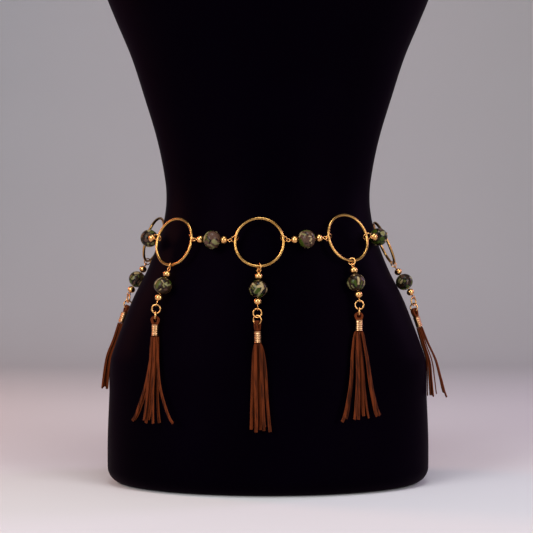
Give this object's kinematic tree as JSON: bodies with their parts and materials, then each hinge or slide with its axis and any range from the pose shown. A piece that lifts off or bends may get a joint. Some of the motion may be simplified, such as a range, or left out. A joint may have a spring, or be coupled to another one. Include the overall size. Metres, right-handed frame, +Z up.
{
  "type": "beaded belt on a limbless dress form",
  "caption": "Hip belt of wire rings joined by stone bead links, with swinging bead and suede tassel drops, worn on a limbless torso dress form that stands on its flat base.",
  "frame": {"origin": "centre of the dress form's flat base", "axes": "+Z up, the belt's front faces -Y, +X is to the right of a viewer who faces the front"},
  "size_m": [0.3634, 0.2445, 0.735],
  "materials": {
    "form": "smooth black satin shell of a display form",
    "gold": "polished gold plating on wire and small beads",
    "stone": null,
    "suede": "soft reddish brown suede with a fine nap"
  },
  "bodies": {
    "root": {"chain": "gold", "clasp": "gold", "link_pin_left_1": "gold", "link_pin_left_2": "gold", "link_pin_left_3": "gold", "link_pin_right_1": "gold", "link_pin_right_2": "gold", "link_pin_right_3": "gold", "link_stone_left_1": "stone", "link_stone_left_2": "stone", "link_stone_left_3": "stone", "link_stone_right_1": "stone", "link_stone_right_2": "stone", "link_stone_right_3": "stone", "ring_front": "gold", "ring_left_1": "gold", "ring_left_2": "gold", "ring_left_3": "gold", "ring_right_1": "gold", "ring_right_2": "gold", "ring_right_3": "gold", "torso_form": "form"},
    "drop_front": {"drop_pin_front": "gold", "drop_stone_front": "stone", "hanger_front": "gold", "jump_a_front": "gold", "jump_b_front": "gold", "tassel_band_front": "gold", "tassel_front": "suede"},
    "drop_left_1": {"drop_pin_left_1": "gold", "drop_stone_left_1": "stone", "hanger_left_1": "gold", "jump_a_left_1": "gold", "jump_b_left_1": "gold", "tassel_band_left_1": "gold", "tassel_left_1": "suede"},
    "drop_left_2": {"drop_pin_left_2": "gold", "drop_stone_left_2": "stone", "hanger_left_2": "gold", "jump_a_left_2": "gold", "jump_b_left_2": "gold", "tassel_band_left_2": "gold", "tassel_left_2": "suede"},
    "drop_right_1": {"drop_pin_right_1": "gold", "drop_stone_right_1": "stone", "hanger_right_1": "gold", "jump_a_right_1": "gold", "jump_b_right_1": "gold", "tassel_band_right_1": "gold", "tassel_right_1": "suede"},
    "drop_right_2": {"drop_pin_right_2": "gold", "drop_stone_right_2": "stone", "hanger_right_2": "gold", "jump_a_right_2": "gold", "jump_b_right_2": "gold", "tassel_band_right_2": "gold", "tassel_right_2": "suede"}
  },
  "joints": [
    {"name": "swing_front", "type": "hinge", "parent": "root", "child": "drop_front", "pos_m": [-0.00869, -0.09729, 0.22293], "axis": [-0.9989, 0.0474, -0.0027], "range_deg": [0, 90]},
    {"name": "swing_left_1", "type": "hinge", "parent": "root", "child": "drop_left_1", "pos_m": [-0.09691, -0.06626, 0.22417], "axis": [-0.7598, 0.6497, 0.0252], "range_deg": [0, 90]},
    {"name": "swing_left_2", "type": "hinge", "parent": "root", "child": "drop_left_2", "pos_m": [-0.12731, 0.02206, 0.22846], "axis": [0.2617, 0.9651, -0.0108], "range_deg": [0, 90]},
    {"name": "swing_right_1", "type": "hinge", "parent": "root", "child": "drop_right_1", "pos_m": [0.08269, -0.07482, 0.22832], "axis": [-0.8232, -0.5667, -0.0354], "range_deg": [0, 90]},
    {"name": "swing_right_2", "type": "hinge", "parent": "root", "child": "drop_right_2", "pos_m": [0.13125, 0.00847, 0.22558], "axis": [0.0922, -0.9957, 0.0055], "range_deg": [0, 90]}
  ]
}
